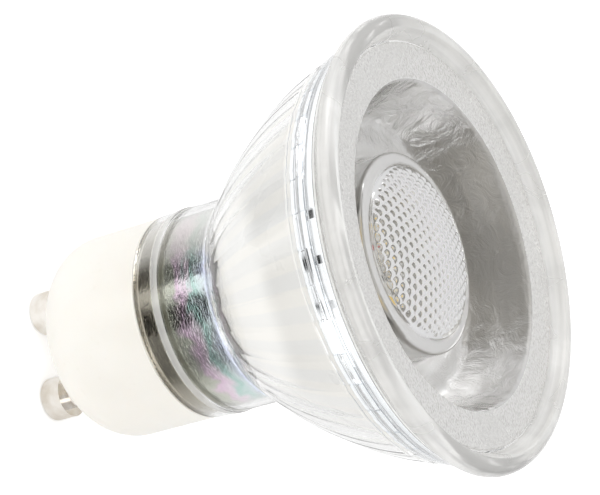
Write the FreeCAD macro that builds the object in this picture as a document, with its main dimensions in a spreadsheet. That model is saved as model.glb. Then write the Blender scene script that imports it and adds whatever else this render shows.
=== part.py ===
import FreeCAD, Part
import math
import os
import re
import Sketcher

# A reflector spotlight lamp with a twist-lock base of two headed pins.
# Z is the lamp's axis and +Z is the way the light goes.
# The origin is on the axis, level with the tips of the pins.
# Lengths are in millimetres.

doc = FreeCAD.newDocument("gu10_spotlight")
sheet = doc.addObject("Spreadsheet::Sheet", "sizes")
# Two sizes closer than this count as the same
CLOSE = 1e-4

SIZES = [
    # Contact pins
    ("pin_spacing", 10.0, "between the axes of the two pins"),
    ("pin_head_radius", 2.5, "pin head"),
    ("pin_head_length", 2.8, "pin head along the axis"),
    ("pin_head_round", 0.5, "edge of the head at its tip"),
    ("pin_neck_radius", 1.55, "neck between head and base"),
    ("pin_neck_gap", 3.0, "from the head to the end of the base"),
    ("pin_hole_play", 0.05, "round the neck in the base"),
    ("pin_collar_radius", 2.2, "collar that rivets the pin inside"),
    ("pin_collar_thick", 0.6, "collar that rivets the pin inside"),
    ("pin_tail_radius", 0.7, "solder tail of the pin"),
    ("pin_tail_length", 2.4, "solder tail of the pin"),
    # Plastic base
    ("base_length", 15.0, "base along the axis"),
    ("base_cone_rise", 0.9, "how far the end face rises to its rim"),
    ("base_round", 5.2, "rounded end of the base"),
    ("base_wall", 1.3, "side wall of the base"),
    ("base_floor", 2.0, "end wall of the base"),
    ("base_inner_round", 2.8, "inner corner of the base"),
    # Glass reflector body
    ("neck_stand", 0.1, "glass neck outside the base"),
    ("neck_length", 9.6, "glass neck along the axis"),
    ("neck_wall", 0.7, "glass of the neck"),
    ("bead_height", 3.0, "moulding line above the base"),
    ("bead_half_width", 0.25, "moulding line"),
    ("bead_depth", 0.12, "moulding line"),
    ("flute_count", 36, "flutes round the bowl"),
    ("flute_turn", 5, "degrees from the pins' line to the first ridge"),
    ("flute_length", 17.8, "flutes along the axis"),
    ("flute_inset", 0.12, "start of the flutes inside the neck's outline"),
    ("flute_setback", 2.5, "bowl inside the rim where the flutes end"),
    ("bowl_bulge", 0.26, "how far the bowl swells from a cone"),
    ("bowl_flatness", 4.2, "radius of the bowl's inner curve over the bowl's widening"),
    ("bowl_wall", 1.6, "glass of the bowl"),
    ("flute_step", 0.12, "step up from the flutes to the facets"),
    ("facet_length", 1.6, "row of small facets"),
    ("facet_setback", 2.05, "facets inside the rim at their front end"),
    ("collar_length", 3.0, "smooth collar in front of the facets"),
    ("collar_setback", 1.1, "collar inside the rim at its front end"),
    ("rim_radius", 25.0, "rim outside"),
    ("rim_length", 2.3, "rim along the axis"),
    ("rim_back_bevel", 0.7, "back edge of the rim"),
    ("rim_front_round", 1.3, "front edge of the rim"),
    ("rim_slope", 0.9, "inner side of the rim leans outwards to its face"),
    # Front lens
    ("rim_width", 2.7, "glass round the lens"),
    ("lens_play", 0.2, "round the lens in the rim"),
    ("lens_inset", 1.5, "lens face behind the rim face"),
    ("lens_flange_thick", 1.5, "lens flange"),
    ("lip_width", 0.25, "slope from the frosted face to the well's mouth"),
    ("well_mouth_depth", 1.8, "from the rim face to the well's mouth"),
    ("well_floor_depth", 8.9, "from the rim face to the well's floor"),
    ("lens_wall", 1.25, "wall of the lens"),
    ("lens_foot", 0.6, "drum and lens wall below the well's floor"),
    ("drum_wall", 2.2, "drum round the light chamber"),
    ("drum_bevel", 0.4, "top edge of the drum"),
    ("dome_depth", 5.2, "from the rim face to the foot of the dome"),
    ("dome_margin", 1.6, "from the drum's side to the dome's edge"),
    ("dome_rise", 1.6, "dome at its middle"),
    ("dome_edge", 0.25, "step from the drum to the dome"),
    ("pillow_pitch", 1.12, "between the rows of pillows"),
    ("pillow_height", 0.16, "middle of a pillow over its corners"),
    ("cell_depth", 7.9, "from the rim face to the chamber's roof"),
    ("seal_inset", 0.1, "bead of adhesive from the edge of its ledge"),
    ("seal_thick", 0.3, "bead of adhesive under the lens"),
    # Reflectors behind the lens
    ("cone_gap", 0.15, "between the lens and its mirror cone"),
    ("cone_wall", 0.55, "mirror cone"),
    ("liner_gap", 0.3, "between the glass and the white liner"),
    ("liner_wall", 0.8, "white liner"),
    ("band_wall", 0.6, "bright band inside the collar"),
    ("band_play", 0.25, "between the bright band and the mirror cone"),
    ("band_gap", 0.1, "from the bright band to the lens"),
    # Heat sink, light engine and driver
    ("sink_wall", 0.9, "heat sink tube"),
    ("sink_lap", 3.0, "heat sink tube inside the base"),
    ("sink_belt_play", 0.1, "round the heat sink's belt in the glass neck"),
    ("sink_belt_rest", 0.05, "from the base to the belt"),
    ("sink_belt_top", 1.2, "belt past the end of the neck"),
    ("seat_inset", 0.25, "seat plate inside the foot of the mirror cone"),
    ("seat_spread", 0.58, "seat plate past the straight line between the ends of the liner"),
    ("seat_thick", 1.2, "seat plate of the heat sink"),
    ("cement_width", 0.6, "between the heat sink and the base"),
    ("cement_play", 0.05, "each side of the cement ring"),
    ("cement_length", 2.0, "cement ring along the axis"),
    ("pad_thick", 0.2, "thermal pad"),
    ("board_play", 0.3, "round the light board in the lens"),
    ("board_thick", 1.2, "light board"),
    ("led_count", 8, "light emitters in the ring"),
    ("led_margin", 0.8, "from the emitters to the edge of the board"),
    ("led_gap", 0.31, "between two emitters at their nearest"),
    ("led_width", 2.8, "light emitter across the ring"),
    ("led_thick", 0.7, "light emitter"),
    ("screw_offset", 2.6, "board screws from the axis"),
    ("screw_head_radius", 1.6, "board screw"),
    ("screw_head_length", 1.0, "board screw"),
    ("screw_gap", 0.8, "from the screw heads to the emitters"),
    ("screw_chamfer", 0.4, "top edge of the screw head"),
    ("screw_radius", 0.95, "board screw shank"),
    ("screw_length", 3.4, "board screw shank"),
    ("screw_play", 0.05, "round the screw's shank"),
    ("lead_offset", 2.5, "board leads from the axis"),
    ("lead_radius", 0.4, "board leads"),
    ("lead_rest", 0.05, "from the driver board to the leads"),
    ("lead_play", 0.3, "round the board leads"),
    ("lead_gap", 0.3, "from the capacitor to the board leads"),
    ("supply_radius", 0.5, "supply wires"),
    ("supply_length", 2.0, "supply wires"),
    ("sleeve_play", 0.2, "between the heat sink and the sleeve"),
    ("sleeve_wall", 0.6, "insulating sleeve"),
    ("sleeve_rest", 0.05, "between the sleeve and the rounded corner it stands on"),
    ("sleeve_top_gap", 1.4, "from the sleeve to the seat plate"),
    ("parts_play", 0.88, "round the driver's parts in the sleeve"),
    ("card_play", 0.87, "from the driver board's edges to the sleeve"),
    ("card_gap", 1.3, "from the driver board to the top of the sleeve"),
    ("card_thick", 1.2, "driver board"),
    ("card_start", 4.0, "driver board above the base floor"),
    ("card_offset", 0.6, "driver board's face from the axis"),
    ("can_radius", 3.2, "smoothing capacitor"),
    ("can_length", 11.0, "smoothing capacitor"),
    ("can_offset", 2.8, "smoothing capacitor from the axis"),
    ("coil_radius", 2.8, "inductor"),
    ("coil_length", 7.0, "inductor"),
    ("coil_gap", 0.2, "from the inductor to the capacitor"),
    ("coil_core_radius", 1.3, "inductor core"),
    ("coil_flange", 1.0, "inductor core ends"),
    ("coil_play", 0.1, "round the winding"),
    ("parts_height", 18.0, "capacitor and inductor above the floor"),
    ("bridge_width", 4.6, "rectifier"),
    ("bridge_depth", 2.0, "rectifier"),
    ("bridge_length", 3.8, "rectifier"),
    ("bridge_height", 10.5, "rectifier above the floor"),
    ("film_width", 5.8, "film capacitor"),
    ("film_depth", 2.8, "film capacitor"),
    ("film_length", 4.6, "film capacitor"),
    ("film_height", 4.8, "film capacitor above the floor"),
    ("film_offset", 1.0, "film capacitor from the axis"),
    ("chip_width", 4.9, "driver chip"),
    ("chip_depth", 1.5, "driver chip"),
    ("chip_length", 3.9, "driver chip"),
    ("fuse_radius", 1.2, "fusible resistor"),
    ("fuse_length", 6.4, "fusible resistor"),
    ("fuse_offset", 4.5, "fusible resistor from the axis"),
    ("fuse_height", 5.4, "fusible resistor above the floor"),
]

for row, (alias, value, note) in enumerate(SIZES, 1):
    sheet.set("A%d" % row, alias)
    sheet.set("B%d" % row, "%g" % value)
    sheet.set("C%d" % row, note)
    sheet.setAlias("B%d" % row, alias)
ALIASES = {alias for alias, value, note in SIZES}

# Sizes and levels that follow from the driving sizes.
# The stem is worked out from the driver outwards and the front from the rim inwards.
DERIVED = [
    ("coil_offset", "can_radius + coil_radius + coil_gap - can_offset"),
    ("can_reach", "sqrt(can_offset ^ 2 + (can_radius - card_offset) ^ 2) + can_radius"),
    ("coil_reach", "sqrt(coil_offset ^ 2 + (coil_radius - card_offset) ^ 2) + coil_radius"),
    ("sleeve_bore", "max(can_reach; coil_reach) + parts_play"),
    ("card_half_width", "sqrt((sleeve_bore - card_play) ^ 2 - (card_offset + card_thick) ^ 2)"),
    ("sleeve_radius", "sleeve_bore + sleeve_wall"),
    ("sink_bore", "sleeve_radius + sleeve_play"),
    ("sink_radius", "sink_bore + sink_wall"),
    ("base_bore", "sink_radius + cement_width"),
    ("base_radius", "base_bore + base_wall"),
    ("neck_radius", "base_radius + neck_stand"),
    ("neck_bore", "neck_radius - neck_wall"),
    ("flute_end_radius", "rim_radius - flute_setback"),
    ("facet_end_radius", "rim_radius - facet_setback"),
    ("collar_end_radius", "rim_radius - collar_setback"),
    ("bowl_arc", "(flute_end_radius - neck_radius) * bowl_flatness"),
    ("throat_radius", "flute_end_radius - bowl_wall"),
    ("recess_radius", "rim_radius - rim_width"),
    ("lens_radius", "recess_radius - lens_play"),
    ("seal_radius", "throat_radius + seal_inset"),
    ("liner_radius", "throat_radius - liner_gap"),
    ("band_radius", "liner_radius - band_wall"),
    ("cone_mouth_radius", "band_radius - band_play - cone_wall - cone_gap"),
    ("well_mouth_radius", "cone_mouth_radius - lens_wall"),
    ("lens_lip_radius", "well_mouth_radius + lip_width"),
    ("led_ring_radius", "screw_offset + screw_head_radius + screw_gap + led_width / 2"),
    ("led_length", "(2 * led_ring_radius - led_width) * tan(180deg / led_count) - led_gap"),
    ("board_radius", "led_ring_radius + led_width / 2 + led_margin"),
    ("cell_radius", "board_radius + board_play"),
    ("drum_radius", "cell_radius + drum_wall"),
    ("dome_radius", "drum_radius - dome_margin"),
    ("base_end", "pin_head_length + pin_neck_gap"),
    ("floor_top", "base_end + base_floor"),
    ("glass_start", "base_end + base_length"),
    ("flute_start", "glass_start + neck_length"),
    ("flute_end", "flute_start + flute_length"),
    ("facet_end", "flute_end + facet_length"),
    ("collar_end", "facet_end + collar_length"),
    ("rim_face", "collar_end + rim_length"),
    ("lens_face", "rim_face - lens_inset"),
    ("lens_back", "lens_face - lens_flange_thick"),
    ("ledge", "lens_back - seal_thick"),
    ("well_mouth", "rim_face - well_mouth_depth"),
    ("well_floor", "rim_face - well_floor_depth"),
    ("dome_foot", "rim_face - dome_depth"),
    ("cell_roof", "rim_face - cell_depth"),
    ("seat_top", "well_floor - lens_wall - lens_foot"),
    ("seat_bottom", "seat_top - seat_thick"),
    ("board_bottom", "seat_top + pad_thick"),
    ("board_top", "board_bottom + board_thick"),
    ("sink_start", "glass_start - sink_lap"),
    ("belt_radius", "neck_bore - sink_belt_play"),
    ("belt_start", "glass_start + sink_belt_rest"),
    ("belt_end", "flute_start + sink_belt_top"),
    ("sleeve_top", "seat_bottom - sleeve_top_gap"),
    ("sleeve_reach", "sleeve_radius - base_bore + base_inner_round"),
    ("sleeve_corner", "base_inner_round - sqrt(base_inner_round ^ 2 - sleeve_reach ^ 2)"),
    ("sleeve_start", "floor_top + sleeve_corner + sleeve_rest"),
    ("liner_foot", "flute_start + bowl_wall + liner_wall"),
    ("liner_foot_radius", "neck_bore - liner_gap - liner_wall / 4"),
    ("liner_share", "(seat_bottom - liner_foot) / (flute_end - liner_foot)"),
    ("liner_spread", "liner_radius - liner_wall - liner_foot_radius"),
    ("seat_radius", "liner_foot_radius + liner_spread * liner_share + seat_spread"),
    ("cone_foot_radius", "seat_radius + seat_inset - cone_wall - cone_gap"),
    ("well_floor_radius", "cone_foot_radius - lens_wall"),
    ("card_level", "floor_top + card_start"),
    ("card_length", "sleeve_top - sleeve_wall - card_gap - card_level"),
    ("parts_level", "floor_top + parts_height"),
]


def bound(text):
    """An expression in which each size is looked up in the sheet."""
    return re.sub(r"[a-z]\w*", lambda m: "sizes." + m.group(0) if m.group(0) in ALIASES else m.group(0), text)


for row, (alias, text) in enumerate(DERIVED, len(SIZES) + 1):
    sheet.set("A%d" % row, alias)
    sheet.set("B%d" % row, "=" + text)
    sheet.setAlias("B%d" % row, alias)
    ALIASES.add(alias)
doc.recompute()


def size(text):
    """The number that an expression in the sheet's sizes gives."""
    value = sheet.evalExpression(text)
    return float(getattr(value, "Value", value))


def bind(item, **expressions):
    """Bind properties; a double underscore in a name stands for a full stop."""
    for name, text in expressions.items():
        item.setExpression(name.replace("__", "."), bound(text))


def new_body(name):
    body = doc.addObject("PartDesign::Body", name)
    body.Label = name
    return body


def new_sketch(body, name, role):
    """An empty sketch on one of the body's own origin planes."""
    sketch = body.newObject("Sketcher::SketchObject", name)
    plane = [f for f in body.Origin.OriginFeatures if f.Role == role][0]
    sketch.AttachmentSupport = [(plane, "")]
    sketch.MapMode = "FlatFace"
    return sketch


def pin_down(sketch, geometry, point, x, y):
    """Hold one point of the sketch at two bound distances from the origin."""
    for kind, axis, text in (("DistanceX", -2, x), ("DistanceY", -1, y)):
        if text == "0":
            sketch.addConstraint(Sketcher.Constraint("PointOnObject", geometry, point, axis))
            continue
        index = sketch.addConstraint(Sketcher.Constraint(kind, -1, 1, geometry, point, size(text)))
        sketch.setExpression("Constraints[%d]" % index, bound(text))


def arc_between(start, end, radius):
    """An arc from start to end; it bulges to the right of that way for a positive radius."""
    across = end - start
    sagitta = abs(radius) - math.sqrt(radius ** 2 - across.Length ** 2 / 4)
    side = FreeCAD.Vector(across.y, -across.x, 0).normalize() * math.copysign(sagitta, radius)
    return Part.Arc(start, start + across / 2 + side, end)


def outline(sketch, corners, arcs=()):
    """A closed outline; arcs maps a corner's number to the bound radius of the arc that leaves it."""
    arcs = dict(arcs)
    places = [FreeCAD.Vector(size(x), size(y), 0) for x, y in corners]
    for number, place in enumerate(places):
        after = places[(number + 1) % len(places)]
        if number in arcs:
            sketch.addGeometry(arc_between(place, after, size(arcs[number])))
        else:
            sketch.addGeometry(Part.LineSegment(place, after))
    ends = []
    for number in range(len(places)):
        forward = number not in arcs or size(arcs[number]) > 0
        ends.append((1, 2) if forward else (2, 1))
    for number, (x, y) in enumerate(corners):
        before = number - 1 if number else len(corners) - 1
        joint = Sketcher.Constraint("Coincident", before, ends[before][1], number, ends[number][0])
        sketch.addConstraint(joint)
        pin_down(sketch, number, ends[number][0], x, y)
    for number, text in arcs.items():
        index = sketch.addConstraint(Sketcher.Constraint("Radius", number, abs(size(text))))
        sketch.setExpression("Constraints[%d]" % index, bound(text.lstrip("-")))


def turned(name, corners, arcs=()):
    """A body turned about Z from a half section in the XZ plane."""
    body = new_body(name)
    sketch = new_sketch(body, name + "_section", "XZ_Plane")
    outline(sketch, corners, arcs)
    solid = body.newObject("PartDesign::Revolution", name + "_turned")
    solid.Profile = sketch
    solid.ReferenceAxis = (sketch, ["V_Axis"])
    solid.Angle = 360
    doc.recompute()
    return body


def round_edge(body, radius, test):
    """Round the circular edges of the body's tip that pass the test."""
    base = body.Tip
    names = []
    for number, edge in enumerate(base.Shape.Edges, 1):
        if edge.Curve.TypeId == "Part::GeomCircle" and test(edge.Curve):
            names.append("Edge%d" % number)
    fillet = body.newObject("PartDesign::Fillet", "%s_round_%d" % (body.Name, len(body.Group)))
    fillet.Base = (base, names)
    bind(fillet, Radius=radius)
    doc.recompute()


def drill(body, name, holes, low, high):
    """Cut round holes along Z; holes are (x, y, radius), from level low to level high."""
    before = body.Shape.Volume
    sketch = new_sketch(body, name + "_sketch", "XY_Plane")
    bind(sketch, AttachmentOffset__Base__z=low)
    for number, (x, y, radius) in enumerate(holes):
        centre = FreeCAD.Vector(size(x), size(y), 0)
        sketch.addGeometry(Part.Circle(centre, FreeCAD.Vector(0, 0, 1), size(radius)))
        pin_down(sketch, number, 3, x, y)
        index = sketch.addConstraint(Sketcher.Constraint("Radius", number, size(radius)))
        sketch.setExpression("Constraints[%d]" % index, bound(radius))
    pocket = body.newObject("PartDesign::Pocket", name)
    pocket.Profile = sketch
    pocket.Reversed = True
    bind(pocket, Length="%s - (%s)" % (high, low))
    doc.recompute()
    if body.Shape.Volume > before - CLOSE:
        raise RuntimeError(name + " cuts nothing")


def bar(name, radius, length, x, y, z):
    """A round bar along Z."""
    item = doc.addObject("Part::Cylinder", name)
    bind(item, Radius=radius, Height=length, Placement__Base__x=x, Placement__Base__y=y, Placement__Base__z=z)
    return item


def block(name, width, depth, length, x, y, z):
    """A box with its corner of least x, y and z at a bound place."""
    item = doc.addObject("Part::Box", name)
    bind(item, Length=width, Width=depth, Height=length)
    bind(item, Placement__Base__x=x, Placement__Base__y=y, Placement__Base__z=z)
    return item


# Contact pins: a headed, necked pin riveted through the base
def contact_pin(name, side):
    body = turned(name, [
        ("0", "0"),
        ("pin_head_radius", "0"),
        ("pin_head_radius", "pin_head_length"),
        ("pin_neck_radius", "pin_head_length"),
        ("pin_neck_radius", "floor_top"),
        ("pin_collar_radius", "floor_top"),
        ("pin_collar_radius", "floor_top + pin_collar_thick"),
        ("pin_tail_radius", "floor_top + pin_collar_thick"),
        ("pin_tail_radius", "floor_top + pin_collar_thick + pin_tail_length"),
        ("0", "floor_top + pin_collar_thick + pin_tail_length"),
    ])
    head = size("pin_head_radius")
    round_edge(body, "pin_head_round", lambda c: abs(c.Radius - head) < CLOSE and c.Center.z < CLOSE)
    bind(body, Placement__Base__x="%s * pin_spacing / 2" % side)
    return body


pins = [contact_pin("contact_pin_1", "-1"), contact_pin("contact_pin_2", "1")]

# Base: a moulded cup with a rounded end and two pin holes
base = turned("base_cap", [
    ("0", "base_end"),
    ("base_radius", "base_end + base_cone_rise"),
    ("base_radius", "glass_start"),
    ("base_bore", "glass_start"),
    ("base_bore", "floor_top"),
    ("0", "floor_top"),
])
round_edge(base, "base_round",
           lambda c: abs(c.Radius - size("base_radius")) < CLOSE and c.Center.z < size("floor_top"))
round_edge(base, "base_inner_round",
           lambda c: abs(c.Radius - size("base_bore")) < CLOSE and c.Center.z < size("floor_top") + CLOSE)
pin_hole = "pin_neck_radius + pin_hole_play"
drill(base, "pin_holes", [("-pin_spacing / 2", "0", pin_hole), ("pin_spacing / 2", "0", pin_hole)],
      "base_end - 1", "floor_top + 1")

# Glass body: neck, bowl of flat flutes, ring of facets, collar and rim
neck = turned("glass_neck", [
    ("0", "glass_start"),
    ("neck_radius", "glass_start"),
    ("neck_radius", "glass_start + bead_height - bead_half_width"),
    ("neck_radius - bead_depth", "glass_start + bead_height"),
    ("neck_radius", "glass_start + bead_height + bead_half_width"),
    ("neck_radius", "flute_start"),
    ("0", "flute_start"),
])
rim = turned("glass_rim", [
    ("0", "facet_end"),
    ("facet_end_radius + flute_step", "facet_end"),
    ("collar_end_radius", "collar_end"),
    ("rim_radius", "collar_end + rim_back_bevel"),
    ("rim_radius", "rim_face - rim_front_round"),
    ("rim_radius - rim_front_round", "rim_face"),
    ("0", "rim_face"),
], {4: "rim_front_round"})


def ring_of_sides(name, radius, level):
    ring = doc.addObject("Part::RegularPolygon", name)
    bind(ring, Polygon="flute_count", Circumradius=radius, Placement__Base__z=level)
    ring.Placement.Rotation = FreeCAD.Rotation(FreeCAD.Vector(0, 0, 1), 1)
    bind(ring, Placement__Rotation__Angle="flute_turn * 1deg")
    return ring


FLUTE_SECTIONS = 5
flute_rings = []
for number in range(FLUTE_SECTIONS + 1):
    share = "%d / %d" % (number, FLUTE_SECTIONS)
    swell = "(%s + 2 * bowl_bulge * %s * (1 - %s))" % (share, share, share)
    radius = "neck_radius - flute_inset + (flute_end_radius - neck_radius + flute_inset) * " + swell
    level = "flute_start + flute_length * " + share
    flute_rings.append(ring_of_sides("flute_ring_%d" % number, radius, level))
flutes = doc.addObject("Part::Loft", "glass_flutes")
flutes.Sections = flute_rings
flutes.Solid = True
facets = doc.addObject("Part::Loft", "glass_facets")
facets.Sections = [
    ring_of_sides("facet_ring_1", "flute_end_radius + flute_step", "flute_end"),
    ring_of_sides("facet_ring_2", "facet_end_radius", "facet_end"),
]
facets.Solid = True
facets.Ruled = True
glass_outside = doc.addObject("Part::MultiFuse", "glass_outside")
glass_outside.Shapes = [neck, flutes, facets, rim]

glass_inside = turned("glass_inside", [
    ("0", "glass_start - 1"),
    ("neck_bore", "glass_start - 1"),
    ("neck_bore", "flute_start + bowl_wall / 2"),
    ("throat_radius", "flute_end"),
    ("throat_radius", "ledge"),
    ("recess_radius", "ledge"),
    ("recess_radius", "lens_face"),
    ("recess_radius + rim_slope", "rim_face"),
    ("recess_radius + rim_slope", "rim_face + 1"),
    ("0", "rim_face + 1"),
], {2: "bowl_arc"})
glass = doc.addObject("Part::Cut", "reflector_glass")
glass.Base = glass_outside
glass.Tool = glass_inside

# White liner behind the flutes, with the bright band on its front edge
liner = turned("bowl_liner", [
    ("neck_bore - liner_gap", "flute_start + bowl_wall"),
    ("liner_radius", "flute_end"),
    ("liner_radius - liner_wall", "flute_end"),
    ("liner_foot_radius", "liner_foot"),
], {0: "bowl_arc", 2: "-bowl_arc"})
band = turned("bright_band", [
    ("band_radius", "flute_end"),
    ("liner_radius", "flute_end"),
    ("liner_radius", "lens_back - band_gap"),
    ("band_radius", "lens_back - band_gap"),
])

# Mirror cone that backs the wall of the lens's well
cone = turned("mirror_cone", [
    ("cone_foot_radius + cone_gap", "seat_top"),
    ("cone_foot_radius + cone_gap + cone_wall", "seat_top"),
    ("cone_mouth_radius + cone_gap + cone_wall", "lens_back - band_gap"),
    ("cone_mouth_radius + cone_gap", "lens_back - band_gap"),
])

# Lens: frosted flange, well, drum and a dome of hexagonal pillows
lens_body = turned("lens_body", [
    ("0", "cell_roof"),
    ("cell_radius", "cell_roof"),
    ("cell_radius", "seat_top"),
    ("drum_radius", "seat_top"),
    ("drum_radius", "well_floor - lens_wall"),
    ("cone_foot_radius", "well_floor - lens_wall"),
    ("cone_mouth_radius", "lens_back"),
    ("lens_radius", "lens_back"),
    ("lens_radius", "lens_face"),
    ("lens_lip_radius", "lens_face"),
    ("well_mouth_radius", "well_mouth"),
    ("well_floor_radius", "well_floor"),
    ("drum_radius", "well_floor"),
    ("drum_radius", "dome_foot - drum_bevel"),
    ("drum_radius - drum_bevel", "dome_foot"),
    ("0", "dome_foot"),
])


def honeycomb_dome():
    """A cap of hexagonal pillows: whole cells on a sphere, each with a raised middle."""
    pitch = size("pillow_pitch")
    reach = size("dome_radius")
    rise = size("dome_rise")
    foot = size("dome_foot")
    sphere = (reach ** 2 + rise ** 2) / (2 * rise)
    corner = pitch / math.sqrt(3)
    rows = int(reach / pitch) + 2

    def on_dome(x, y, extra=0.0):
        height = math.sqrt(sphere ** 2 - x * x - y * y) - sphere + rise
        return FreeCAD.Vector(x, y, foot + size("dome_edge") + height + extra)

    def spot(x, y):
        return (round(x, 5), round(y, 5))

    faces = []
    edges = {}
    for i in range(-rows, rows + 1):
        for j in range(-rows, rows + 1):
            x = pitch * (i + j / 2)
            y = pitch * j * math.sqrt(3) / 2
            if math.hypot(x, y) + corner > reach:
                continue
            ring = []
            for k in range(6):
                turn = math.radians(30 + 60 * k)
                ring.append(spot(x + corner * math.cos(turn), y + corner * math.sin(turn)))
            top = on_dome(x, y, size("pillow_height"))
            for a, b in zip(ring, ring[1:] + ring[:1]):
                faces.append(Part.Face(Part.makePolygon([on_dome(*a), on_dome(*b), top, on_dome(*a)])))
                if not edges.pop((b, a), None):
                    edges[(a, b)] = True
    follow = {a: b for a, b in edges}
    start = next(iter(follow))
    border = [start]
    while follow[border[-1]] != start:
        border.append(follow[border[-1]])
    for a, b in zip(border, border[1:] + border[:1]):
        low_a = FreeCAD.Vector(a[0], a[1], foot)
        low_b = FreeCAD.Vector(b[0], b[1], foot)
        faces.append(Part.Face(Part.makePolygon([on_dome(*a), low_a, low_b, on_dome(*b), on_dome(*a)])))
    lowest = [FreeCAD.Vector(x, y, foot) for x, y in border]
    faces.append(Part.Face(Part.makePolygon(lowest + lowest[:1])))
    shell = Part.makeShell(faces)
    shell.sewShape()
    solid = Part.makeSolid(shell)
    if solid.Volume < 0:
        solid.reverse()
    return solid


dome = doc.addObject("Part::Feature", "honeycomb_dome")
dome.Shape = honeycomb_dome()
lens = doc.addObject("Part::Fuse", "lens")
lens.Base = lens_body
lens.Tool = dome
seal = turned("lens_seal", [
    ("seal_radius", "ledge"),
    ("lens_radius", "ledge"),
    ("lens_radius", "lens_back"),
    ("seal_radius", "lens_back"),
])

# Heat sink: a tube with a belt that fills the glass neck and a seat plate for the light board
sink = turned("heat_sink", [
    ("sink_bore", "sink_start"),
    ("sink_radius", "sink_start"),
    ("sink_radius", "belt_start"),
    ("belt_radius", "belt_start"),
    ("belt_radius", "belt_end"),
    ("sink_radius", "belt_end"),
    ("sink_radius", "seat_bottom"),
    ("seat_radius", "seat_bottom"),
    ("seat_radius", "seat_top"),
    ("0", "seat_top"),
    ("0", "seat_bottom"),
    ("sink_bore", "seat_bottom"),
])
lead_y = "card_offset - lead_radius - lead_rest"
lead_hole = "lead_radius + lead_play"
lead_holes = [("-lead_offset", lead_y, lead_hole), ("lead_offset", lead_y, lead_hole)]
screw_hole = "screw_radius + screw_play"
screw_holes = [("0", "-screw_offset", screw_hole), ("0", "screw_offset", screw_hole)]
drill(sink, "seat_holes", lead_holes + screw_holes, "seat_bottom - 1", "seat_top + 1")
cement = turned("cement_ring", [
    ("sink_radius + cement_play", "glass_start - cement_length"),
    ("base_bore - cement_play", "glass_start - cement_length"),
    ("base_bore - cement_play", "glass_start"),
    ("sink_radius + cement_play", "glass_start"),
])


# Light engine: pad, board, ring of emitters, screws and leads
def disc(name, radius, low, high):
    """A flat disc on the heat sink's seat, with the holes of the leads and the screws."""
    body = turned(name, [("0", low), (radius, low), (radius, high), ("0", high)])
    drill(body, name + "_holes", lead_holes + screw_holes, low + " - 1", high + " + 1")
    return body


pad = disc("thermal_pad", "board_radius", "seat_top", "board_bottom")
board = disc("light_board", "board_radius", "board_bottom", "board_top")


def emitter(name, turn):
    """A flat package on the ring, turned so that its long side follows the ring."""
    body = new_body(name)
    sketch = new_sketch(body, name + "_plan", "XY_Plane")
    outline(sketch, [
        ("-led_width / 2", "-led_length / 2"),
        ("led_width / 2", "-led_length / 2"),
        ("led_width / 2", "led_length / 2"),
        ("-led_width / 2", "led_length / 2"),
    ])
    pad_up = body.newObject("PartDesign::Pad", name + "_pad")
    pad_up.Profile = sketch
    bind(pad_up, Length="led_thick")
    bind(body, Placement__Base__x="led_ring_radius * cos(%s)" % turn)
    bind(body, Placement__Base__y="led_ring_radius * sin(%s)" % turn)
    bind(body, Placement__Base__z="board_top")
    body.Placement.Rotation = FreeCAD.Rotation(FreeCAD.Vector(0, 0, 1), 1)
    bind(body, Placement__Rotation__Angle=turn)
    return body


emitters = []
for number in range(int(size("led_count"))):
    emitters.append(emitter("led_%d" % (number + 1), "(360deg * (%d + 0.5) / led_count)" % number))


def board_screw(name, side):
    """A screw in its own frame, with its head's underside at z = 0."""
    body = turned(name, [
        ("0", "-screw_length"),
        ("screw_radius", "-screw_length"),
        ("screw_radius", "0"),
        ("screw_head_radius", "0"),
        ("screw_head_radius", "screw_head_length - screw_chamfer"),
        ("screw_head_radius - screw_chamfer", "screw_head_length"),
        ("0", "screw_head_length"),
    ])
    bind(body, Placement__Base__y="%s * screw_offset" % side, Placement__Base__z="board_top")
    return body


screws = [board_screw("board_screw_1", "-1"), board_screw("board_screw_2", "1")]
lead_start = "parts_level + can_length + lead_gap"
lead_length = "board_top + led_thick / 2 - (%s)" % lead_start
leads = [
    bar("board_lead_plus", "lead_radius", lead_length, "lead_offset", lead_y, lead_start),
    bar("board_lead_minus", "lead_radius", lead_length, "-lead_offset", lead_y, lead_start),
]

# Driver: a card in an insulating sleeve, with its parts on both faces
sleeve = turned("insulating_sleeve", [
    ("sleeve_bore", "sleeve_start"),
    ("sleeve_radius", "sleeve_start"),
    ("sleeve_radius", "sleeve_top"),
    ("0", "sleeve_top"),
    ("0", "sleeve_top - sleeve_wall"),
    ("sleeve_bore", "sleeve_top - sleeve_wall"),
])
drill(sleeve, "sleeve_holes", lead_holes, "sleeve_top - sleeve_wall - 1", "sleeve_top + 1")
card = block("driver_board", "2 * card_half_width", "card_thick", "card_length",
             "-card_half_width", "card_offset", "card_level")
can = bar("smoothing_capacitor", "can_radius", "can_length",
          "-can_offset", "card_offset - can_radius", "parts_level")
bridge = block("bridge_rectifier", "bridge_width", "bridge_depth", "bridge_length",
               "-bridge_width / 2", "card_offset - bridge_depth", "floor_top + bridge_height")
film = block("film_capacitor", "film_width", "film_depth", "film_length",
             "film_offset - film_width / 2", "card_offset - film_depth", "floor_top + film_height")
chip = block("driver_chip", "chip_width", "chip_depth", "chip_length",
             "-chip_width / 2", "card_offset + card_thick", "parts_level")
fuse = bar("fusible_resistor", "fuse_radius", "fuse_length", "-fuse_offset", "card_offset - fuse_radius",
           "floor_top + fuse_height")
core = turned("inductor_core", [
    ("0", "0"),
    ("coil_radius", "0"),
    ("coil_radius", "coil_flange"),
    ("coil_core_radius", "coil_flange"),
    ("coil_core_radius", "coil_length - coil_flange"),
    ("coil_radius", "coil_length - coil_flange"),
    ("coil_radius", "coil_length"),
    ("0", "coil_length"),
])
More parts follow.
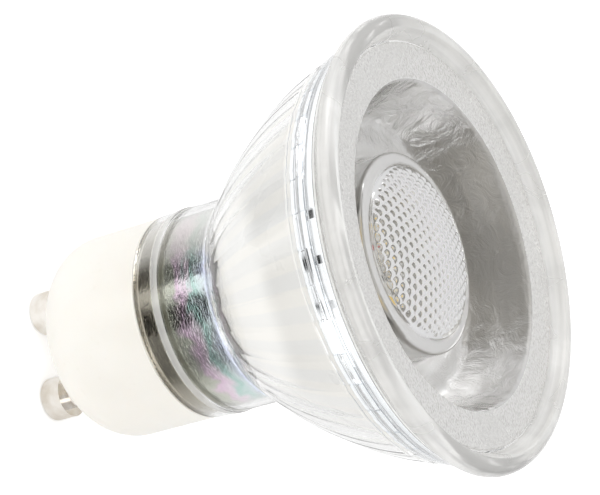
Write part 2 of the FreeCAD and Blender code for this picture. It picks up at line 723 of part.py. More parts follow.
winding = turned("inductor_winding", [
    ("coil_core_radius + coil_play", "coil_flange + coil_play"),
    ("coil_radius - coil_play", "coil_flange + coil_play"),
    ("coil_radius - coil_play", "coil_length - coil_flange - coil_play"),
    ("coil_core_radius + coil_play", "coil_length - coil_flange - coil_play"),
])
for piece in (core, winding):
    bind(piece, Placement__Base__x="coil_offset", Placement__Base__y="card_offset - coil_radius")
    bind(piece, Placement__Base__z="parts_level")
tail_end = "floor_top + pin_collar_thick + pin_tail_length"
supply = [
    bar("neutral_wire", "supply_radius", "supply_length", "-pin_spacing / 2", "0", tail_end),
    bar("live_wire", "supply_radius", "supply_length", "pin_spacing / 2", "0", tail_end),
]

PIECES = pins + [base, glass, liner, band, cone, lens, seal, sink, cement, pad, board]
PIECES += emitters + screws + leads
PIECES += [sleeve, card, can, bridge, film, chip, fuse, core, winding] + supply

doc.recompute()
for item in doc.Objects:
    if "Invalid" in item.State or "Error" in item.State:
        raise RuntimeError("%s did not build: %s" % (item.Label, item.State))
for piece in PIECES:
    if piece.Shape.isNull() or not piece.Shape.isValid() or len(piece.Shape.Solids) != 1:
        raise RuntimeError("%s is not one valid solid" % piece.Label)

os.makedirs("parts", exist_ok=True)
for piece in PIECES:
    piece.Shape.exportStep("parts/%s.step" % piece.Label)
    box = piece.Shape.BoundBox
    print("%-20s volume %9.2f  z %6.2f to %6.2f  radius %5.2f" % (
        piece.Label, piece.Shape.Volume, box.ZMin, box.ZMax, max(box.XMax, box.YMax)))
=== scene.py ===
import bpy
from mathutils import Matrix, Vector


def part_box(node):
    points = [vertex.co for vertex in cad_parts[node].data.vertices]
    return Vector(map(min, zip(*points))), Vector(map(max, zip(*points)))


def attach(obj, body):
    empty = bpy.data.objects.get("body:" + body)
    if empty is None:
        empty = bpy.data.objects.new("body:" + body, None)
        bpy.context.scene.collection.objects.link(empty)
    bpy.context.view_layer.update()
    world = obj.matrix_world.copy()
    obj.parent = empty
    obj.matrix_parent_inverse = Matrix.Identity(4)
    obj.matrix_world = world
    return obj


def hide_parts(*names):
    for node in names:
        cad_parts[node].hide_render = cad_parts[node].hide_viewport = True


bl_info = {
    "name": "Reflector spotlight lamp",
    "version": (1, 0, 0),
    "blender": (4, 5, 0),
    "location": "View3D > Sidebar > Lamp",
    "description": "Dresses the packed lamp with fluted glass, a honeycomb lens and its finishes",
    "category": "Object",
}

import math

import bpy
import numpy as np
from bpy.props import FloatProperty, FloatVectorProperty, IntProperty, PointerProperty
from mathutils import Matrix, Vector

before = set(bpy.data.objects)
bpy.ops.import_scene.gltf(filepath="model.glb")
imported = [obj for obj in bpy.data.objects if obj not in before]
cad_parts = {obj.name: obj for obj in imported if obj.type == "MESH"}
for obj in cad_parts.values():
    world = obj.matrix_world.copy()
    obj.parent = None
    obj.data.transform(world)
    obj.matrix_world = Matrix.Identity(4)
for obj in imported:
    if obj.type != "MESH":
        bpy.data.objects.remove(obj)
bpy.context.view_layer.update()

MM = 0.001


def top_of(node):
    """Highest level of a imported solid, in millimetres."""
    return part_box(node)[1].z / MM


def foot_of(node):
    """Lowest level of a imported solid, in millimetres."""
    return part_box(node)[0].z / MM


def reach_of(node):
    """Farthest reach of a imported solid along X, in millimetres."""
    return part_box(node)[1].x / MM


# Sizes and colours that a user may change


def length(name, description, default):
    """A length given in millimetres and kept in metres."""
    return FloatProperty(name=name, description=description, default=default * MM,
                         unit="LENGTH", subtype="DISTANCE", precision=5)


def turn(name, description, default):
    """An angle given in degrees."""
    return FloatProperty(name=name, description=description,
                         default=math.radians(default), subtype="ANGLE")


def share(name, description, default):
    """A share of a whole."""
    return FloatProperty(name=name, description=description, default=default,
                         min=0.0, subtype="FACTOR")


def colour(name, description, default):
    """A colour by its three parts."""
    return FloatVectorProperty(name=name, description=description, default=default,
                               size=3, min=0.0, max=1.0, subtype="COLOR")


class LampGlassSettings(bpy.types.PropertyGroup):
    flutes: IntProperty(name="Flutes", description="Flat flutes round the bowl", default=36)
    first_ridge: turn("First ridge", "Turn from the pins' line to the first ridge", 5)
    neck_length: length("Neck length", "Straight neck above the base", 9.6)
    neck_wall: length("Neck wall", "Glass of the neck", 0.7)
    bead_height: length("Moulding line height", "Moulding line above the base", 3.0)
    bead_depth: length("Moulding line depth", "Depth of the moulding line", 0.12)
    flute_length: length("Flute length", "Flutes along the axis", 17.8)
    flute_end_radius: length("Flute end radius", "Bowl where the flutes end", 22.5)
    flute_scoop: length("Flute scoop", "Hollow of a flute across its width", 0.02)
    bowl_bulge: share("Bowl bulge", "How far the bowl swells from a cone", 0.26)
    bowl_wall: length("Bowl wall", "Glass of the bowl", 1.6)
    facet_length: length("Facet length", "Row of small facets", 1.6)
    facet_end_radius: length("Facet radius", "Front end of the facets", 22.95)
    facet_step: length("Facet step", "Step up to the facets and the collar", 0.12)
    collar_length: length("Collar length", "Smooth collar", 3.0)
    collar_end_radius: length("Collar radius", "Front end of the collar", 23.9)
    rim_back_bevel: length("Rim bevel", "Back edge of the rim", 0.7)
    rim_front_round: length("Rim rounding", "Front edge of the rim", 1.3)
    rim_slope: length("Rim slope", "Inner side of the rim leans outwards to its face", 0.9)
    recess_radius: length("Recess radius", "Recess that takes the lens", 22.3)
    ledge_depth: length("Ledge depth", "From the rim's face to the ledge", 3.3)
    tint: colour("Glass tint", "Tint of the clear glass", (0.964, 0.966, 0.962))
    milky: colour("Rim tone", "Rim and moulding line", (0.78, 0.772, 0.75))


class LampLensSettings(bpy.types.PropertyGroup):
    face_radius: length("Lip radius", "Inner edge of the frosted face", 18.05)
    well_mouth_radius: length("Well mouth radius", "Well at its mouth", 17.8)
    well_mouth_depth: length("Well mouth depth", "From the lens's face to the well's mouth", 0.3)
    well_floor_radius: length("Well floor radius", "Well at its floor", 15.6)
    well_floor_depth: length("Well depth", "From the lens's face to the well's floor", 7.4)
    wall: length("Lens wall", "Wall of the lens", 1.25)
    flange: length("Flange", "Thickness of the lens's flange", 1.5)
    drum_radius: length("Drum radius", "Drum that carries the dome", 11.1)
    dome_depth: length("Dome depth", "From the lens's face to the foot of the dome", 3.7)
    dome_radius: length("Dome radius", "Dome with its pillows", 9.5)
    dome_rise: length("Dome rise", "Dome at its middle", 1.6)
    dome_edge: length("Dome edge", "Step from the drum to the dome", 0.25)
    pillow_pitch: length("Pillow pitch", "Between the rows of pillows", 1.12)
    pillow_height: length("Pillow height", "Middle of a pillow over its corners", 0.32)
    cell_radius: length("Chamber radius", "Light chamber under the drum", 8.9)
    cell_depth: length("Chamber depth", "From the lens's face to the chamber's roof", 6.4)
    pebble: length("Pebble size", "Grain of the frosted face", 0.24)
    tint: colour("Lens tint", "Tint of the clear plastic", (0.87, 0.862, 0.845))
    haze: colour("Well haze", "Haze of the well's wall", (0.45, 0.44, 0.415))


class LampFinishSettings(bpy.types.PropertyGroup):
    cream: colour("Base", "Moulded cream plastic", (0.93, 0.905, 0.85))
    nickel: colour("Pins", "Nickel plating", (0.87, 0.85, 0.82))
    sink: colour("Heat sink", "Plated aluminium", (0.80, 0.78, 0.74))
    liner: colour("Liner", "Glossy white liner", (0.97, 0.965, 0.955))
    liner_radius: length("Liner curve", "Radius of the liner's swelling", 45.8)
    liner_wall: length("Liner wall", "Wall of the liner", 0.8)
    liner_foot_radius: length("Liner foot", "Outer radius of the liner where it starts", 10.6)
    band: colour("Bright band", "Polished band in the collar", (0.93, 0.95, 0.975))
    tile_length: length("Tile length", "Row of mirror tiles along the axis", 1.9)
    cone: colour("Mirror cone", "Metallised cone", (0.45, 0.435, 0.405))
    board: colour("Light board", "White solder mask", (0.62, 0.615, 0.60))
    phosphor: colour("Phosphor", "Phosphor of the light emitters", (1.0, 0.68, 0.16))


class LampStageSettings(bpy.types.PropertyGroup):
    azimuth: turn("Azimuth", "Camera round the lamp from +X", 105.0)
    elevation: turn("Elevation", "Camera above the level", 29.97)
    roll: turn("Roll", "Camera turned about its line of sight", 73.74)
    distance: length("Distance", "Camera from the point it aims at", 302.9)
    aim: FloatVectorProperty(name="Aim", description="Point in the middle of the picture",
                             default=(0.00384, 0.00103, 0.03627), size=3,
                             subtype="TRANSLATION", unit="LENGTH")
    focal_length: FloatProperty(name="Focal length", default=168.0,
                                description="Camera focal length in millimetres")
    floor_colour: colour("Floor", "Pale studio floor", (0.93, 0.93, 0.93))


# Meshes turned about the lamp's axis, with small sizes in millimetres


NECK_STEP = 0.1  # neck past the base
NECK_CHAMFER = 0.25  # lower edge of the neck, outside and inside
BEAD_TOP = 0.3  # half of the moulding line at its top
BEAD_FOOT = 0.6  # half of the moulding line at its foot
MILKY_BEAD = 0.45  # half of its milky part
MILKY_RIM = 0.25  # from the collar to the milky part of the rim
FLUTE_RUN_IN = 1.0  # round glass before a flute starts
FLUTE_ARCH = 0.8  # its later start at the ridges
FLUTE_GROWTH = 3.5  # over which it becomes flat
POLE = 0.05  # smallest ring about the axis
PILLOW_MARGIN = 0.15  # plain edge of the dome
PILLOW_FADE = 0.5  # over which the pillows rise
LENS_COLUMNS = 420
TILE_EDGE = 0.925  # half a tile, where half a flute is 1
TILE_GAP = 0.12  # depth of the gap between two tiles


def arc(centre, radius, start, end, parts):
    """Corners along an arc of a section, between two angles in degrees from the radius."""
    turns = np.radians(np.linspace(start, end, parts + 1))
    return [(centre[0] + radius * math.cos(a), centre[1] + radius * math.sin(a), 0) for a in turns]


def softened(corners, step):
    """Points along a section, from (radius, level, rounding) corners in millimetres."""
    points = []
    for number, (radius, level, rounding) in enumerate(corners):
        here = np.array((radius, level), float)
        if rounding <= 0 or number in (0, len(corners) - 1):
            points.append(here)
            continue
        before = np.array(corners[number - 1][:2], float) - here
        after = np.array(corners[number + 1][:2], float) - here
        cut = min(rounding, 0.45 * np.linalg.norm(before), 0.45 * np.linalg.norm(after))
        start = here + before / np.linalg.norm(before) * cut
        end = here + after / np.linalg.norm(after) * cut
        for t in (0.0, 0.25, 0.5, 0.75, 1.0):
            points.append((1 - t) ** 2 * start + 2 * t * (1 - t) * here + t * t * end)
    filled = [points[0]]
    for a, b in zip(points, points[1:]):
        parts = max(1, math.ceil(np.linalg.norm(b - a) / step))
        filled += [a + (b - a) * k / parts for k in range(1, parts + 1)]
    return np.array(filled)


def grid_object(name, places, closed, bands=()):
    """A mesh from rows of rings of places in millimetres; an open one is closed with two poles.

    Each band names a further material's number and the rows whose faces take it.
    """
    rows, columns = places.shape[:2]
    points = places.reshape(-1, 3) * MM
    faces = []
    last = rows if closed else rows - 1
    for i in range(last):
        upper = (i + 1) % rows
        for j in range(columns):
            k = (j + 1) % columns
            faces.append((i * columns + j, i * columns + k, upper * columns + k, upper * columns + j))
    if not closed:
        poles = [places[0].mean(axis=0) * MM, places[-1].mean(axis=0) * MM]
        points = np.vstack([points, poles])
        first, final = rows * columns, rows * columns + 1
        base = (rows - 1) * columns
        for j in range(columns):
            k = (j + 1) % columns
            faces.append((first, k, j))
            faces.append((final, base + j, base + k))
    mesh = bpy.data.meshes.new(name)
    mesh.from_pydata(points.tolist(), [], faces)
    mesh.shade_smooth()
    for material, numbers in bands:
        for number in numbers:
            for face in mesh.polygons[number * columns:(number + 1) * columns]:
                face.material_index = material
    mesh.update()
    piece = bpy.data.objects.new(name, mesh)
    bpy.context.scene.collection.objects.link(piece)
    return piece


def ringed(section, columns):
    """Places of a section's points at each column's azimuth."""
    radius = section[:, :1]
    level = np.repeat(section[:, 1:], len(columns), axis=1)
    return np.stack([radius * np.cos(columns), radius * np.sin(columns), level], axis=2)


def per_flute(glass, spots):
    """Columns across every flute, at spots from one ridge (-1) to the next (1).

    Gives their azimuths, their spots, and how far a flat flute draws its circle in there.
    """
    half = math.pi / glass.flutes
    middles = [glass.first_ridge + half * (2 * k + 1 + spots) for k in range(glass.flutes)]
    across = np.tile(spots, glass.flutes)
    return np.concatenate(middles), across, math.cos(half) / np.cos(across * half)


def mount(piece, material, slot, *nodes):
    """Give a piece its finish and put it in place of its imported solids."""
    piece.data.materials.append(material)
    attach(piece, "root")
    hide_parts(*nodes)
    return piece


def smoothed(value):
    """A share from 0 to 1 with soft ends."""
    value = np.clip(value, 0.0, 1.0)
    return value * value * (3 - 2 * value)


# Finishes


SHADE_TINT = 0.25  # share of a clear tint that light takes on in passing


def toned(tone, *factors):
    """A colour scaled by one factor or by one for each part, and held under full brightness."""
    parts = factors * 3 if len(factors) == 1 else factors
    return tuple(min(1.0, c * f) for c, f in zip(tone, parts))


class Finish:
    """A material under way: its node tree and its main shader."""

    def __init__(self, name, base, roughness, metallic=0.0, ior=1.5):
        self.material = bpy.data.materials.new(name)
        self.material.use_nodes = True
        self.tree = self.material.node_tree
        self.shader = self.tree.nodes["Principled BSDF"]
        self.give("Base Color", base)
        self.give("Roughness", roughness)
        self.give("Metallic", metallic)
        self.give("IOR", ior)

    def node(self, kind, inputs=None, **settings):
        """A new node with its inputs fed and its settings made."""
        made = self.tree.nodes.new("ShaderNode" + kind)
        for key, value in settings.items():
            setattr(made, key, value)
        for key, value in (inputs or {}).items():
            self.feed(made.inputs[key], value)
        return made

    def feed(self, socket, value):
        """Link a socket or set its value; a colour is given by its three parts."""
        if isinstance(value, bpy.types.NodeSocket):
            self.tree.links.new(value, socket)
        elif socket.type == "RGBA":
            socket.default_value = (*value, 1.0)
        else:
            socket.default_value = value

    def give(self, name, value):
        """Feed one of the main shader's inputs."""
        self.feed(self.shader.inputs[name], value)

    def place(self):
        """Position on the lamp, in metres."""
        return self.node("TexCoord").outputs["Object"]

    def noise(self, scale, detail=3.0, roughness=0.5, stretch=None, distortion=0.0):
        """Noise from 0 to 1; stretch scales the lamp's axes before it."""
        vector = self.place()
        if stretch:
            vector = self.vector("MULTIPLY", vector, stretch)
        return self.node("TexNoise", {"Vector": vector, "Scale": scale, "Detail": detail,
                                      "Roughness": roughness, "Distortion": distortion}).outputs["Fac"]

    def turned_noise(self, around, along, detail=3.0):
        """Noise from 0 to 1 with one scale round the lamp and another along it."""
        unit = self.vector("NORMALIZE", self.level_place())
        wide = self.vector("MULTIPLY", unit, (around, around, 0.0))
        rise = self.node("CombineXYZ", {"Z": self.times(self.level(), along)}).outputs[0]
        both = self.vector("ADD", wide, rise)
        return self.node("TexNoise", {"Vector": both, "Scale": 1.0, "Detail": detail}).outputs["Fac"]

    def math(self, operation, a, b=0.0):
        """The outcome of an operation on two values."""
        return self.node("Math", {0: a, 1: b}, operation=operation).outputs[0]

    def vector(self, operation, a, b=(0.0, 0.0, 0.0), output="Vector"):
        """The outcome of an operation on two vectors."""
        return self.node("VectorMath", {0: a, 1: b}, operation=operation).outputs[output]

    def times(self, a, b):
        return self.math("MULTIPLY", a, b)

    def plus(self, a, b):
        return self.math("ADD", a, b)

    def average(self, a, b):
        """Half of one value and half of another."""
        return self.plus(self.times(a, 0.5), self.times(b, 0.5))

    def between(self, value, low, high, to_low=0.0, to_high=1.0, smooth=True):
        """A value taken from one range to another, and held at its ends."""
        made = self.node("MapRange", {"Value": value, "From Min": low, "From Max": high,
                                      "To Min": to_low, "To Max": to_high})
        made.interpolation_type = "SMOOTHSTEP" if smooth else "LINEAR"
        return made.outputs["Result"]

    def ramp(self, value, stops):
        """A colour by a value from 0 to 1, from (position, colour) stops."""
        made = self.node("ValToRGB", {"Fac": value})
        marks = made.color_ramp.elements
        while len(marks) < len(stops):
            marks.new(0.5)
        for mark, (position, tone) in zip(marks, stops):
            mark.position = position
            mark.color = (*tone, 1.0)
        return made.outputs["Color"]

    def mix(self, factor, a, b):
        """One colour at a factor of 0 and another at 1."""
        made = self.node("Mix", data_type="RGBA")
        self.feed(made.inputs[0], factor)
        self.feed(made.inputs[6], a)
        self.feed(made.inputs[7], b)
        return made.outputs[2]

    def bump(self, height, strength, distance):
        """Relief of a distance in millimetres."""
        made = self.node("Bump", {"Height": height, "Strength": strength, "Distance": distance * MM})
        self.give("Normal", made.outputs["Normal"])

    def rough(self, value, low, high, polished, dull):
        """Roughness by a value, from one range to another."""
        self.give("Roughness", self.between(value, low, high, polished, dull))

    def level_place(self):
        """Position on the lamp with its height taken out, in metres."""
        return self.vector("MULTIPLY", self.place(), (1.0, 1.0, 0.0))

    def radius(self):
        """Distance from the lamp's axis, in millimetres."""
        reach = self.vector("LENGTH", self.level_place(), output="Value")
        return self.times(reach, 1 / MM)

    def level(self):
        """Height along the lamp's axis, in millimetres."""
        split = self.node("SeparateXYZ", {"Vector": self.place()})
        return self.times(split.outputs["Z"], 1 / MM)

    def azimuth(self):
        """Turn about the lamp's axis, from -pi to pi."""
        split = self.node("SeparateXYZ", {"Vector": self.place()})
        return self.math("ARCTAN2", split.outputs["Y"], split.outputs["X"])

    def clear(self, tint, weight=1.0):
        """Make the shader clear to a weight, and let soft light through it."""
        self.give("Transmission Weight", weight)
        path = self.node("LightPath")
        faint = tuple(1 - SHADE_TINT + SHADE_TINT * c for c in tint)
        through = self.node("BsdfTransparent", {"Color": faint})
        surface = self.shader
        for kind in ("Is Shadow Ray", "Is Diffuse Ray"):
            both = self.node("MixShader")
            self.feed(both.inputs[0], path.outputs[kind])
            self.feed(both.inputs[1], surface.outputs[0])
            self.feed(both.inputs[2], through.outputs[0])
            surface = both
        self.feed(self.tree.nodes["Material Output"].inputs["Surface"], surface.outputs[0])


def clear_glass(tint):
    """Clear glass with slow waves and fine seeds."""
    finish = Finish("clear_glass", tint, 0.015)
    waves = finish.noise(140.0, 1.0)
    seeds = finish.noise(900.0, 2.0)
    height = finish.plus(waves, finish.times(seeds, 0.06))
    finish.bump(height, 0.12, 0.3)
    finish.rough(seeds, 0.35, 0.75, 0.01, 0.03)
    finish.clear(tint)
    return finish.material


def satin_glass(tone):
    """The rim's glass, a little milky and worn satin."""
    finish = Finish("satin_glass", tone, 0.1)
    cloud = finish.noise(170.0, 3.0, distortion=0.6)
    rings = finish.turned_noise(0.7, 2.2)
    streaks = finish.average(cloud, rings)
    dull = toned(tone, 0.84)
    finish.give("Base Color", finish.mix(finish.between(streaks, 0.4, 0.6), tone, dull))
    finish.rough(cloud, 0.3, 0.7, 0.14, 0.3)
    finish.bump(streaks, 0.3, 0.25)
    finish.clear((0.95, 0.95, 0.94), 0.42)
    return finish.material


def lens_plastic(settings, name):
    """The clear plastic of the drum and the dome, or the hazy one of the well's wall."""
    hazy = name == "hazy_plastic"
    finish = Finish(name, settings.haze if hazy else settings.tint, 0.02, ior=1.49)
    dust = finish.noise(700.0, 3.0)
    outward = finish.between(finish.radius(), 12.0, 13.5)
    satin = finish.times(outward, 0.09 if hazy else 0.16)
    finish.give("Roughness", finish.plus(satin, finish.between(dust, 0.4, 0.8, 0.012, 0.04)))
    flow = finish.noise(330.0, 5.0, roughness=0.62, distortion=1.4)
    finish.bump(finish.times(flow, outward), 0.8, 0.35)
    finish.clear(settings.tint, 0.64 if hazy else 1.0)
    return finish.material


def frosted_plastic(settings):
    """The pebbled flange of the lens, which spreads the light, with painted shade in the hollows between
    its pebbles.
    """
    finish = Finish("frosted_plastic", (0.95, 0.94, 0.925), 0.35, ior=1.49)
    cells = finish.node("TexVoronoi", {"Vector": finish.place(), "Scale": 1 / settings.pebble,
                                       "Randomness": 1.0}, feature="SMOOTH_F1").outputs["Distance"]
    grain = finish.noise(0.8 / settings.pebble, 3.0)
    pebbles = finish.plus(finish.times(cells, -1.2), grain)
    worn = finish.noise(90.0, 3.0)
    # painted shade: darker in the hollows between the pebbles, paler on their tops
    hollow_shade = finish.between(cells, 0.2, 0.75)
    finish.give("Base Color", finish.mix(hollow_shade, (0.70, 0.69, 0.665), (0.53, 0.515, 0.495)))
    finish.rough(worn, 0.3, 0.7, 0.18, 0.36)
    finish.bump(pebbles, 0.6, 0.12)
    finish.clear((0.90, 0.89, 0.88), 0.5)
    return finish.material


def cream_plastic(base):
    """Moulded plastic with faint clouds and specks, which light enters a little."""
    finish = Finish("cream_plastic", base, 0.32)
    cloud = finish.noise(60.0, 4.0)
    speck = finish.noise(1400.0, 3.0)
    paler = toned(base, 1.03)
    darker = toned(base, 0.97, 0.962, 0.945)
    tone = finish.mix(finish.between(cloud, 0.3, 0.7), darker, paler)
    tone = finish.mix(finish.between(speck, 0.62, 0.75, 0.0, 0.12), tone, (0.78, 0.73, 0.64))
    finish.give("Base Color", tone)
    finish.rough(cloud, 0.2, 0.8, 0.26, 0.42)
    grain = finish.noise(2600.0, 2.0)
    finish.bump(finish.plus(grain, finish.times(cloud, 2.0)), 0.12, 0.05)
    finish.give("Subsurface Weight", 0.15)
    finish.give("Subsurface Radius", (1.0, 0.8, 0.6))
    finish.give("Subsurface Scale", 0.0008)
    return finish.material


def nickel_plate(base):
    """Turned and plated metal, a little clouded."""
    finish = Finish("pin_metal", base, 0.2, metallic=1.0)
    turning = finish.noise(900.0, 2.0, stretch=(0.15, 0.15, 6.0))
    cloud = finish.noise(350.0, 3.0)
    dull = toned(base, 0.80, 0.76, 0.70)
    tone = finish.mix(finish.between(cloud, 0.35, 0.7), base, dull)
    finish.give("Base Color", tone)
    finish.rough(turning, 0.3, 0.7, 0.08, 0.22)
    finish.bump(turning, 0.2, 0.02)
    return finish.material


def plated_sink(base):
    """Drawn, plated aluminium: brown at the base, with a rainbow film towards the bowl."""
    finish = Finish("plated_aluminium", base, 0.1, metallic=1.0)
    wander = finish.noise(260.0, 3.0, distortion=1.2)
    climb = finish.plus(finish.level(), finish.times(wander, 4.0))
    film = finish.between(climb, 22.0, 34.0, smooth=False)
    tinted = finish.ramp(film, [
        (0.0, (0.38, 0.34, 0.27)), (0.26, (0.44, 0.41, 0.33)), (0.33, (0.62, 0.63, 0.53)),
        (0.46, (0.70, 0.72, 0.62)), (0.54, (0.92, 0.70, 0.88)), (0.62, (0.96, 0.86, 0.94)),
        (0.68, (0.56, 0.82, 0.76)), (0.76, (0.84, 0.93, 0.96)), (0.88, (0.70, 0.74, 0.93)),
        (1.0, base),
    ])
    tone = finish.mix(finish.between(finish.azimuth(), 1.05, 1.35, 0.25, 1.0), base, tinted)
    strokes = finish.noise(1900.0, 3.0, stretch=(1.0, 1.0, 2.6))
    tone = finish.mix(finish.between(strokes, 0.55, 0.75, 0.0, 0.25), tone, (0.33, 0.29, 0.25))
    finish.give("Base Color", tone)
    finish.rough(strokes, 0.2, 0.8, 0.03, 0.09)
    dents = finish.times(finish.noise(260.0, 2.0), 3.2)
    finish.bump(finish.plus(dents, strokes), 1.0, 0.05)
    return finish.material


def white_liner(base, flutes, first_ridge):
    """Glossy white, cream on one half of each flute and greyer on the other as painted shade, with a
    random tone to each flute.
    """
    finish = Finish("white_liner", base, 0.3)
    turned = finish.math("SUBTRACT", finish.azimuth(), first_ridge - 2 * math.pi)
    counted = finish.times(turned, flutes / (2 * math.pi))
    across = finish.math("FRACT", counted)
    number = finish.math("FLOOR", counted)
    chance = finish.node("TexWhiteNoise", {"W": number}, noise_dimensions="1D").outputs["Value"]
    # painted shade: the greyer half of each flute, as the panels would catch the light differently
    painted_shade_half = finish.between(across, 0.44, 0.50)
    cream = toned(base, 1.0, 0.98, 0.935)
    grey = toned(base, 0.88, 0.888, 0.892)
    cloud = finish.noise(120.0, 3.0)
    uneven = finish.plus(finish.times(chance, 0.3), finish.times(cloud, 0.1))
    painted_shade_and_tone = finish.plus(finish.times(painted_shade_half, 0.45), uneven)
    finish.give("Base Color", finish.mix(painted_shade_and_tone, cream, grey))
    finish.rough(cloud, 0.3, 0.7, 0.24, 0.38)
    finish.bump(finish.noise(500.0, 3.0), 0.06, 0.05)
    return finish.material


def polished_band(base):
    """Polished metal with a fine grain round the lamp."""
    finish = Finish("bright_metal", base, 0.04, metallic=1.0)
    grain = finish.noise(300.0, 3.0, stretch=(1.0, 1.0, 8.0))
    dull = toned(base, 0.93)
    finish.give("Base Color", finish.mix(finish.between(grain, 0.4, 0.7), base, dull))
    finish.rough(grain, 0.3, 0.7, 0.02, 0.06)
    return finish.material


def metallised_cone(base):
    """Satin metal with soft rings and slow clouds round the cone, whose paler and duller tones are
    painted sheen; the same rings give its relief.
    """
    finish = Finish("metallised_cone", base, 0.4, metallic=0.8)
    rings = finish.turned_noise(1.1, 1.6)
    clouds = finish.turned_noise(2.2, 0.1, 1.0)
    streaks = finish.average(rings, clouds)
    # painted sheen: paler and duller rings round the cone's axis
    pale = toned(base, 1.4)
    dull = toned(base, 0.85)
    finish.give("Base Color", finish.mix(finish.between(streaks, 0.4, 0.6), dull, pale))
    cloud = finish.noise(90.0, 2.0)
    finish.rough(cloud, 0.3, 0.7, 0.32, 0.45)
    finish.bump(streaks, 0.2, 0.6)
    return finish.material


def plain_part(name, base, roughness, metallic=0.0, speckle=0.1, scale=900.0):
    """A small part's finish: its colour with a fine mottle and grain."""
    finish = Finish(name, base, roughness, metallic)
    mottle = finish.noise(scale, 3.0)
    darker = toned(base, 1 - 3 * speckle)
    paler = toned(base, 1 + speckle)
    tone = finish.mix(finish.between(mottle, 0.3, 0.7), darker, paler)
    finish.give("Base Color", tone)
    finish.rough(mottle, 0.3, 0.7, 0.8 * roughness, min(1.0, 1.25 * roughness))
    finish.bump(finish.noise(2.5 * scale, 2.0), 0.15, 0.03)
    return finish.material


def dress(node, material):
    """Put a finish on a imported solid."""
    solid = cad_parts[node]
    solid.data.materials.clear()
    solid.data.materials.append(material)


def dress_plain(node, slot, *looks, **more):
    """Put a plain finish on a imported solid, under its slot's name."""
    dress(node, plain_part(slot, *looks, **more))


# Operators, one for each group of pieces


class LAMP_OT_glass_body(bpy.types.Operator):
    """Build the glass body: neck, fluted bowl, facets, collar and rim"""
    bl_idname = "lamp.glass_body"
    bl_label = "Glass body"

    def execute(self, context):
        s = context.scene.lamp_glass
        foot, face = foot_of("reflector_glass"), top_of("reflector_glass")
        neck_radius = reach_of("base_cap") + NECK_STEP
        neck_bore = neck_radius - s.neck_wall / MM
        flute_start = foot + s.neck_length / MM
        flute_end = flute_start + s.flute_length / MM
        facet_end = flute_end + s.facet_length / MM
        collar_end = facet_end + s.collar_length / MM
        end_radius = s.flute_end_radius / MM
        throat = end_radius - s.bowl_wall / MM
        rim_radius = reach_of("reflector_glass")
        step = s.facet_step / MM
        rounding = s.rim_front_round / MM
        slope = s.rim_slope / MM
        lens_face = top_of("lens")
        bead = foot + s.bead_height / MM
        ledge = face - s.ledge_depth / MM
        recess = s.recess_radius / MM

        def bowl(share_up, low, high):
            """Radius of the swelling bowl at a share of its height."""
            return low + (high - low) * (share_up + 2 * s.bowl_bulge * share_up * (1 - share_up))

        depth = s.bead_depth / MM
        neck = softened([
            (neck_radius - NECK_CHAMFER, foot, 0), (neck_radius, foot + NECK_CHAMFER, 0.2),
            (neck_radius, bead - BEAD_FOOT, 0.15), (neck_radius + depth, bead - BEAD_TOP, 0.2),
            (neck_radius + depth, bead + BEAD_TOP, 0.2), (neck_radius, bead + BEAD_FOOT, 0.15),
            (neck_radius, flute_start - 0.4, 0),
        ], 1.2)
        shares = np.linspace(0.0, 1.0, 40)
        rise = flute_end - flute_start
        swell = np.array([(bowl(k, neck_radius, end_radius), flute_start + k * rise) for k in shares])
        facets = softened([
            (end_radius + step, flute_end + 0.06, 0), (s.facet_end_radius / MM, facet_end - 0.05, 0),
        ], 0.4)
        front = softened([
            (s.facet_end_radius / MM + step, facet_end + 0.03, 0.1),
            (s.collar_end_radius / MM, collar_end, 0.35),
            (rim_radius, collar_end + s.rim_back_bevel / MM, 0.3),
            *arc((rim_radius - rounding, face - rounding), rounding, 0.0, 90.0, 10),
            (recess + slope, face, 0.45),
            (recess, lens_face, 0.3),
            (recess, ledge, 0.15),
            (throat, ledge, 0.2),
            (throat, flute_end, 0),
        ], 0.5)
        lift = s.bowl_wall / MM / 2
        inner = np.array([(bowl(k, neck_bore, throat), flute_start + lift + k * (rise - lift))
                          for k in np.linspace(0.97, 0.0, 24)])
        bore = softened([(neck_bore, flute_start, 0), (neck_bore, foot + 0.2, 0.15),
                         (neck_bore + NECK_CHAMFER, foot, 0)], 1.5)
        section = np.vstack([neck, swell, facets, front, inner, bore])
        bowl_end = len(neck) + len(swell)
        fluted = np.zeros(len(section))
        fluted[len(neck):bowl_end] = 1.0
        faceted = np.zeros(len(section))
        faceted[bowl_end:bowl_end + len(facets)] = 1.0

        spots = np.array([-1.0, -0.96, -0.88, -0.7, -0.45, -0.15, 0.15, 0.45, 0.7, 0.88, 0.96])
        columns, across, flat = per_flute(s, spots)
        places = ringed(section, columns)
        begins = flute_start + FLUTE_RUN_IN + FLUTE_ARCH * across ** 2
        grown = smoothed((section[:, 1:] - begins) / FLUTE_GROWTH) * fluted[:, None]
        scoop = s.flute_scoop / MM * (1 - across ** 2)
        radius = section[:, :1]
        wanted = radius * (1 - grown * (1 - flat)) - grown * scoop
        wanted = wanted - radius * (1 - flat) * faceted[:, None]
        places[:, :, :2] *= (wanted / radius)[:, :, None]
        low, high = section[:-1], section[1:]
        at_rim = np.minimum(low, high)[:, 1] > collar_end + MILKY_RIM
        outside = low[:, 0] > neck_radius - 0.05
        at_bead = outside & (np.abs((low + high)[:, 1] / 2 - bead) < MILKY_BEAD)
        milky = np.flatnonzero(at_rim | at_bead)
        piece = grid_object("fluted_glass", places, closed=True, bands=((1, milky),))
        mount(piece, clear_glass(s.tint), "clear_glass", "reflector_glass")
        piece.data.materials.append(satin_glass(s.milky))
        return {"FINISHED"}


